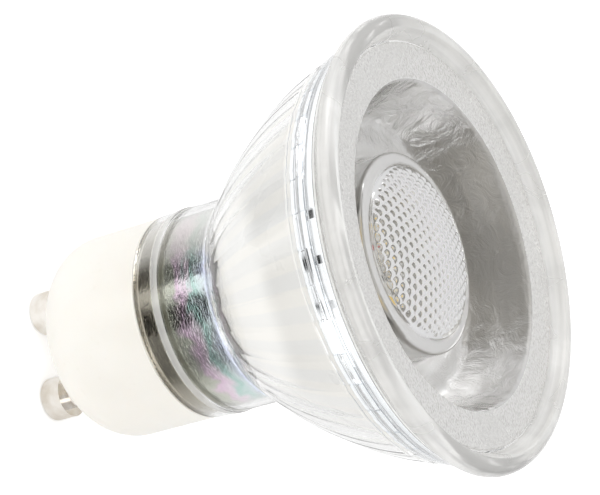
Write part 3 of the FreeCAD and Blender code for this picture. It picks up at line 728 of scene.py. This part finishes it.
class LAMP_OT_front_lens(bpy.types.Operator):
    """Build the front lens: frosted flange, well, drum and honeycomb dome"""
    bl_idname = "lamp.front_lens"
    bl_label = "Front lens"

    def execute(self, context):
        s = context.scene.lamp_lens
        face, foot = top_of("lens"), foot_of("lens")
        edge = reach_of("lens")
        lip = s.face_radius / MM
        wall = s.wall / MM
        mouth = (s.well_mouth_radius / MM, face - s.well_mouth_depth / MM)
        well = (s.well_floor_radius / MM, face - s.well_floor_depth / MM)
        back = face - s.flange / MM
        drum = s.drum_radius / MM
        dome_foot = face - s.dome_depth / MM
        dome = s.dome_radius / MM
        rise = s.dome_rise / MM
        step_up = s.dome_edge / MM
        roof = face - s.cell_depth / MM
        cell = s.cell_radius / MM
        pitch = s.pillow_pitch / MM
        sphere = (dome ** 2 + rise ** 2) / (2 * rise)

        def dome_level(reach):
            """Level of the dome without its pillows."""
            return dome_foot + step_up + np.sqrt(sphere ** 2 - reach ** 2) - sphere + rise

        reaches = np.concatenate([np.linspace(POLE, 1.0, 8)[:-1], np.linspace(1.0, dome, 78)])
        cap = np.stack([reaches, dome_level(reaches)], axis=1)
        rest = softened([
            (dome + 0.05, dome_foot + 0.02, 0),
            (drum, dome_foot, 0.6),
            (drum, well[1], 0.5),
            (well[0], well[1], 1.0),
            (mouth[0], mouth[1], 0.15),
            (lip, face, 0.15),
            (edge, face, 0.2),
            (edge, back, 0.2),
            (mouth[0] + wall, back, 0.3),
            (well[0] + wall, well[1] - wall, 0.8),
            (drum, well[1] - wall, 0.15),
            (drum, foot, 0.15),
            (cell, foot, 0.15),
            (cell, roof, 0.3),
            (POLE, roof, 0),
        ], 0.6)
        section = np.vstack([cap, rest])
        columns = np.linspace(0, 2 * math.pi, LENS_COLUMNS, endpoint=False)
        places = ringed(section, columns)
        top = places[:len(cap)]
        x, y = top[:, :, 0], top[:, :, 1]
        nearest = np.full(x.shape, np.inf)
        row_gap = pitch * math.sqrt(3) / 2
        row = np.round(y / row_gap)
        for shift in (-1, 0, 1):
            line = row + shift
            offset = np.where(np.mod(line, 2) == 0, 0.0, pitch / 2)
            column = np.round((x - offset) / pitch) * pitch + offset
            nearest = np.minimum(nearest, (x - column) ** 2 + (y - line * row_gap) ** 2)
        swell = s.pillow_height / MM * (1 - nearest / (pitch ** 2 / 3))
        fade = smoothed((dome - PILLOW_MARGIN - np.hypot(x, y)) / PILLOW_FADE)
        top[:, :, 2] += swell * fade
        reach, level = section[:-1, 0], section[:-1, 1]
        frosted = np.flatnonzero((reach > lip - 0.02) & (level > back - 0.02))
        walls = np.arange(len(cap), frosted[0])
        piece = grid_object("honeycomb_lens", places, closed=False, bands=((1, frosted), (2, walls)))
        mount(piece, lens_plastic(s, "clear_plastic"), "clear_plastic", "lens")
        for further in (frosted_plastic(s), lens_plastic(s, "hazy_plastic")):
            piece.data.materials.append(further)
        return {"FINISHED"}


class LAMP_OT_reflectors(bpy.types.Operator):
    """Build the panelled liner and the bright band with its mirror tiles, and finish the cone"""
    bl_idname = "lamp.reflectors"
    bl_label = "Reflectors"

    def execute(self, context):
        s = context.scene.lamp_finish
        glass = context.scene.lamp_glass
        dress("mirror_cone", metallised_cone(s.cone))
        dress_plain("lens_seal", "clear_adhesive", (0.85, 0.85, 0.83), 0.35, speckle=0.03)
        self.liner(s, glass)
        self.band(s, glass)
        return {"FINISHED"}

    def liner(self, s, glass):
        """A swelling liner with one flat panel behind each flute."""
        low = np.array((s.liner_foot_radius / MM, foot_of("bowl_liner")))
        high = np.array((reach_of("bowl_liner"), top_of("bowl_liner")))
        chord = high - low
        span = np.linalg.norm(chord)
        radius = s.liner_radius / MM
        inward = np.array((-chord[1], chord[0])) / span
        centre = (low + high) / 2 + inward * math.sqrt(radius ** 2 - span ** 2 / 4)
        first, last = (math.atan2(*(end - centre)[::-1]) for end in (low, high))
        turns = np.linspace(first, last, 32)
        outside = centre + radius * np.stack([np.cos(turns), np.sin(turns)], axis=1)
        outside[-1] = high
        section = np.vstack([outside, outside[::-1] - (s.liner_wall / MM, 0)])
        columns, _, flat = per_flute(glass, np.array([-1.0, -0.96, -0.5, 0.0, 0.5, 0.96]))
        places = ringed(section, columns)
        places[:, :, :2] *= flat[None, :, None]
        piece = grid_object("fluted_liner", places, closed=True)
        mount(piece, white_liner(s.liner, glass.flutes, glass.first_ridge), "white_liner", "bowl_liner")

    def band(self, s, glass):
        """A band with one flat tile behind each flute and a plain collar in front of them."""
        foot, face, reach = foot_of("bright_band"), top_of("bright_band"), reach_of("bright_band")
        tiles_end = foot + s.tile_length / MM
        back, tile, groove = reach - 0.6, reach - 0.02, reach - 0.3
        section = softened([
            (back, foot, 0), (tile, foot, 0), (tile, tiles_end - 0.06, 0),
            (groove, tiles_end, 0), (groove, tiles_end + 0.12, 0), (reach, tiles_end + 0.3, 0.1),
            (reach, face, 0), (back, face, 0),
        ], 0.8)
        spots = np.array([-1.0, -0.93, -0.92, -0.46, 0.0, 0.46, 0.92, 0.93])
        columns, across, flat = per_flute(glass, spots)
        places = ringed(section, columns)
        tiled = (section[:, :1] > reach - 0.1) & (section[:, 1:] < tiles_end)
        drawn_in = np.where(tiled, flat, 1.0)
        gap = np.where(tiled & (np.abs(across) > TILE_EDGE), TILE_GAP, 0.0)
        places[:, :, :2] *= (drawn_in - gap / reach)[:, :, None]
        piece = grid_object("mirror_tiles", places, closed=True)
        piece.data.shade_flat()
        mount(piece, polished_band(s.band), "bright_metal", "bright_band")


class LAMP_OT_base(bpy.types.Operator):
    """Finish the moulded base and the cement that holds the heat sink in it"""
    bl_idname = "lamp.base"
    bl_label = "Base"

    def execute(self, context):
        s = context.scene.lamp_finish
        dress("base_cap", cream_plastic(s.cream))
        dress_plain("cement_ring", "grey_cement", (0.74, 0.72, 0.67), 0.8, speckle=0.08)
        return {"FINISHED"}


class LAMP_OT_contact_pins(bpy.types.Operator):
    """Finish the two contact pins and their wires"""
    bl_idname = "lamp.contact_pins"
    bl_label = "Contact pins"

    def execute(self, context):
        metal = nickel_plate(context.scene.lamp_finish.nickel)
        for node in ("contact_pin_1", "contact_pin_2"):
            dress(node, metal)
        dress_plain("neutral_wire", "wire_blue", (0.10, 0.25, 0.60), 0.45)
        dress_plain("live_wire", "wire_brown", (0.36, 0.20, 0.10), 0.45)
        return {"FINISHED"}


class LAMP_OT_heat_sink(bpy.types.Operator):
    """Finish the heat sink, its pad and the insulating sleeve"""
    bl_idname = "lamp.heat_sink"
    bl_label = "Heat sink"

    def execute(self, context):
        s = context.scene.lamp_finish
        dress("heat_sink", plated_sink(s.sink))
        dress_plain("thermal_pad", "thermal_grey", (0.50, 0.52, 0.55), 0.6)
        dress_plain("insulating_sleeve", "sleeve_plastic", (0.86, 0.86, 0.83), 0.5, speckle=0.03)
        return {"FINISHED"}


class LAMP_OT_light_board(bpy.types.Operator):
    """Finish the light board, its screws and leads, and build the light emitters"""
    bl_idname = "lamp.light_board"
    bl_label = "Light board"

    def execute(self, context):
        s = context.scene.lamp_finish
        dress_plain("light_board", "board_white", s.board, 0.3, speckle=0.03)
        screw = plain_part("screw_steel", (0.62, 0.61, 0.60), 0.25, metallic=1.0)
        for node in ("board_screw_1", "board_screw_2"):
            dress(node, screw)
        dress_plain("board_lead_plus", "wire_red", (0.62, 0.07, 0.05), 0.45)
        dress_plain("board_lead_minus", "wire_black", (0.05, 0.05, 0.05), 0.45)
        package = plain_part("led_package", (0.92, 0.92, 0.90), 0.35, speckle=0.02)
        phosphor = plain_part("led_phosphor", s.phosphor, 0.4, speckle=0.06, scale=3000.0)
        for node in sorted(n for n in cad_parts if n.startswith("led_")):
            self.emitter(node, package, phosphor)
        return {"FINISHED"}

    def emitter(self, node, package, phosphor):
        """A white package with a wide pool of phosphor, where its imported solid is."""
        low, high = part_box(node)
        middle = (low + high) / 2
        angle = math.atan2(middle.y, middle.x)
        wide, long_side, tall = 1.4, 1.91, (high.z - low.z) / MM
        around = np.linspace(0, 2 * math.pi, 48, endpoint=False)

        def oblong(half_width, half_length, level):
            """A ring of places on an oblong with round corners."""
            power = 6.0
            reach = (np.abs(np.cos(around) / half_width) ** power
                     + np.abs(np.sin(around) / half_length) ** power) ** (-1 / power)
            levels = np.full(len(around), level)
            return np.stack([reach * np.cos(around), reach * np.sin(around), levels], axis=1)

        steps = ((0.0, 0.0), (0.0, tall - 0.1), (0.08, tall), (0.28, tall), (0.4, tall - 0.1))
        rows = [oblong(wide - inset, long_side - inset, level) for inset, level in steps]
        rows.append(oblong(0.5 * wide, 0.5 * long_side, tall - 0.04))
        piece = grid_object(node + "_package", np.array(rows), closed=False, bands=((1, (4,)),))
        mount(piece, package, "led_package", node)
        piece.data.materials.append(phosphor)
        for face in piece.data.polygons[-2 * len(around):]:
            face.material_index = int(face.center.z / MM > tall / 2)
        foot = Matrix.Translation((middle.x, middle.y, low.z))
        piece.matrix_world = foot @ Matrix.Rotation(angle, 4, "Z")


class LAMP_OT_driver(bpy.types.Operator):
    """Finish the driver board and its parts in the sleeve"""
    bl_idname = "lamp.driver"
    bl_label = "Driver"

    def execute(self, context):
        chip = plain_part("chip_black", (0.05, 0.05, 0.05), 0.5)
        for node in ("bridge_rectifier", "driver_chip"):
            dress(node, chip)
        for node, slot, base, roughness, metallic in (
            ("driver_board", "board_green", (0.08, 0.30, 0.14), 0.35, 0.0),
            ("smoothing_capacitor", "can_black", (0.07, 0.07, 0.09), 0.3, 0.0),
            ("film_capacitor", "film_orange", (0.78, 0.38, 0.09), 0.3, 0.0),
            ("fusible_resistor", "resistor_blue", (0.30, 0.46, 0.58), 0.35, 0.0),
            ("inductor_core", "ferrite_grey", (0.16, 0.15, 0.15), 0.6, 0.0),
            ("inductor_winding", "copper_wire", (0.72, 0.36, 0.16), 0.3, 1.0),
        ):
            dress_plain(node, slot, base, roughness, metallic)
        return {"FINISHED"}


# Painted reflections: dark patches in the floor that only reflected rays see, as (share of a turn,
# darkness) pairs, and their edges in millimetres
NEAR_PAINTED_REFLECTIONS = (
    (0.0, 0.15), (0.20, 0.16), (0.25, 0.36), (0.30, 0.60), (0.345, 0.92), (0.385, 0.90),
    (0.402, 0.16), (0.428, 0.32), (0.443, 0.80), (0.463, 1.0), (0.516, 1.0), (0.530, 0.78),
    (0.58, 0.82), (0.63, 0.86), (0.67, 0.72), (0.70, 0.45), (0.74, 0.28), (0.80, 0.18),
)
FAR_PAINTED_REFLECTIONS = (
    (0.396, 0.0), (0.399, 1.0), (0.4065, 1.0), (0.409, 0.0),
    (0.464, 0.0), (0.467, 1.0), (0.476, 1.0), (0.479, 0.0),
    (0.527, 0.0), (0.530, 1.0), (0.5335, 1.0), (0.536, 0.0),
)
NEAR_INNER_EDGE = (22, 32)
NEAR_OUTER_EDGE = (74, 84)
FAR_INNER_EDGE = (262, 290)
PAINTED_REFLECTION_BLACK = (0.02, 0.02, 0.02)
FLOOR_REACH = 6.0  # metres
SEEN_GLOW = 0.4  # lifts the floor where it is seen directly
MIRRORED_GLOW = 0.2  # lifts it where a reflection shows it
SKY = ((0.0, (0.56, 0.56, 0.57)), (0.6, (0.74, 0.74, 0.74)))  # tones from the level upwards


def greys(stops):
    """Stops of a grey ramp, from (position, tone) pairs."""
    return [(position, (tone,) * 3) for position, tone in stops]


class LAMP_OT_stage(bpy.types.Operator):
    """Set the pale floor, the soft studio light and the camera"""
    bl_idname = "lamp.stage"
    bl_label = "Stage"

    def execute(self, context):
        s = context.scene.lamp_stage
        self.floor(s)
        self.world(context.scene)
        self.lamps(s)
        self.camera(context.scene, s)
        context.scene.view_settings.view_transform = "Standard"
        return {"FINISHED"}

    def floor(self, s):
        """A wide pale floor with painted reflections: grey patches that only reflections in the lamp
        show.
        """
        mesh = bpy.data.meshes.new("studio_floor")
        corners = [(FLOOR_REACH * x, FLOOR_REACH * y, 0) for x, y in ((-1, -1), (1, -1), (1, 1), (-1, 1))]
        mesh.from_pydata(corners, [], [(0, 1, 2, 3)])
        floor = bpy.data.objects.new("studio_floor", mesh)
        bpy.context.scene.collection.objects.link(floor)
        finish = Finish("studio_floor", s.floor_colour, 0.9)
        finish.give("Specular IOR Level", 0.0)
        path = finish.node("LightPath")
        camera = path.outputs["Is Camera Ray"]
        bounced = finish.math("MINIMUM", path.outputs["Glossy Depth"], 1.0)
        # painted reflections: the floor goes dark only where a reflection in the lamp sees it
        painted_reflections = finish.times(self.painted_reflections(finish, s), bounced)
        white = finish.math("SUBTRACT", 1.0, painted_reflections)
        glow = finish.plus(finish.times(camera, SEEN_GLOW), finish.times(bounced, MIRRORED_GLOW))
        finish.give("Emission Color", (1, 1, 1))
        finish.give("Emission Strength", finish.times(glow, white))
        finish.give("Base Color", finish.mix(painted_reflections, s.floor_colour, PAINTED_REFLECTION_BLACK))
        mesh.materials.append(finish.material)

    def painted_reflections(self, finish, s):
        """Painted reflections: grey patches in the floor round the lamp, which only its reflections show:
        1 is black.
        """
        reach = finish.radius()
        side = finish.math("SUBTRACT", finish.azimuth(), s.azimuth)
        side = finish.math("WRAP", side, math.pi)
        side.node.inputs[2].default_value = -math.pi
        part = finish.between(side, -math.pi, math.pi, smooth=False)
        inner = finish.ramp(part, greys(NEAR_PAINTED_REFLECTIONS))
        outer = finish.ramp(part, greys(FAR_PAINTED_REFLECTIONS))
        near = finish.times(finish.between(reach, *NEAR_INNER_EDGE),
                            finish.between(reach, *NEAR_OUTER_EDGE, 1.0, 0.0))
        far = finish.between(reach, *FAR_INNER_EDGE)
        return finish.plus(finish.times(inner, near), finish.times(outer, far))

    def world(self, scene):
        """Soft light from all round, and plain white behind the lamp."""
        world = bpy.data.worlds.new("studio_light")
        scene.world = world
        world.use_nodes = True
        nodes, links = world.node_tree.nodes, world.node_tree.links
        background = nodes["Background"]
        path = nodes.new("ShaderNodeLightPath")
        coords = nodes.new("ShaderNodeTexCoord")
        split = nodes.new("ShaderNodeSeparateXYZ")
        links.new(coords.outputs["Generated"], split.inputs[0])
        ramp = nodes.new("ShaderNodeValToRGB")
        for mark, (height, tone) in zip(ramp.color_ramp.elements, SKY):
            mark.position = height
            mark.color = (*tone, 1)
        links.new(split.outputs["Z"], ramp.inputs["Fac"])
        mix = nodes.new("ShaderNodeMix")
        mix.data_type = "RGBA"
        links.new(path.outputs["Is Camera Ray"], mix.inputs[0])
        links.new(ramp.outputs["Color"], mix.inputs[6])
        mix.inputs[7].default_value = (1, 1, 1, 1)
        links.new(mix.outputs[2], background.inputs["Color"])
        background.inputs["Strength"].default_value = 1.0

    def lamps(self, s):
        """Round soft lamps that face the aim: place and size in metres, power in watts."""
        for name, place, size, power in (
            ("key_light", (0.55, 0.25, 0.45), 0.5, 1.6),
            ("front_light", (-0.05, 0.15, 0.75), 0.45, 1.2),
            ("fill_light", (-0.45, 0.45, 0.25), 0.5, 0.9),
        ):
            light = bpy.data.lights.new(name, "AREA")
            light.shape = "DISK"
            light.size = size
            light.energy = power
            lamp = bpy.data.objects.new(name, light)
            bpy.context.scene.collection.objects.link(lamp)
            lamp.location = place
            lamp.rotation_euler = (Vector(s.aim) - Vector(place)).to_track_quat("-Z", "Y").to_euler()

    def camera(self, scene, s):
        """The camera, turned and rolled as in the stage's settings."""
        back = Vector((math.cos(s.elevation) * math.cos(s.azimuth),
                       math.cos(s.elevation) * math.sin(s.azimuth), math.sin(s.elevation)))
        level = Vector((-math.sin(s.azimuth), math.cos(s.azimuth), 0))
        rising = back.cross(level)
        right = math.cos(s.roll) * level + math.sin(s.roll) * rising
        up = back.cross(right)
        data = bpy.data.cameras.new("photo_camera")
        data.lens = s.focal_length
        data.sensor_width = 36.0
        data.clip_start = 0.01
        camera = bpy.data.objects.new("photo_camera", data)
        scene.collection.objects.link(camera)
        turned = Matrix((right, up, back)).transposed().to_4x4()
        camera.matrix_world = Matrix.Translation(Vector(s.aim) + back * s.distance) @ turned
        scene.camera = camera


OPERATORS = (LAMP_OT_glass_body, LAMP_OT_front_lens, LAMP_OT_reflectors, LAMP_OT_base,
             LAMP_OT_contact_pins, LAMP_OT_heat_sink, LAMP_OT_light_board, LAMP_OT_driver,
             LAMP_OT_stage)
SETTINGS = {"lamp_glass": LampGlassSettings, "lamp_lens": LampLensSettings,
            "lamp_finish": LampFinishSettings, "lamp_stage": LampStageSettings}


class LAMP_PT_panel(bpy.types.Panel):
    """The lamp's pieces and their settings"""
    bl_idname = "LAMP_PT_panel"
    bl_label = "Spotlight lamp"
    bl_space_type = "VIEW_3D"
    bl_region_type = "UI"
    bl_category = "Lamp"

    def draw(self, context):
        for operator in OPERATORS:
            self.layout.operator(operator.bl_idname)
        for name, group in SETTINGS.items():
            box = self.layout.box()
            for key in group.__annotations__:
                box.prop(getattr(context.scene, name), key)


def register():
    for group in SETTINGS.values():
        bpy.utils.register_class(group)
    for name, group in SETTINGS.items():
        setattr(bpy.types.Scene, name, PointerProperty(type=group))
    for kind in (*OPERATORS, LAMP_PT_panel):
        bpy.utils.register_class(kind)


def unregister():
    for kind in reversed((*OPERATORS, LAMP_PT_panel)):
        bpy.utils.unregister_class(kind)
    for name, group in SETTINGS.items():
        delattr(bpy.types.Scene, name)
        bpy.utils.unregister_class(group)


def main():
    register()
    for operator in OPERATORS:
        group, action = operator.bl_idname.split(".")
        getattr(getattr(bpy.ops, group), action)()


if __name__ == "__main__":
    main()
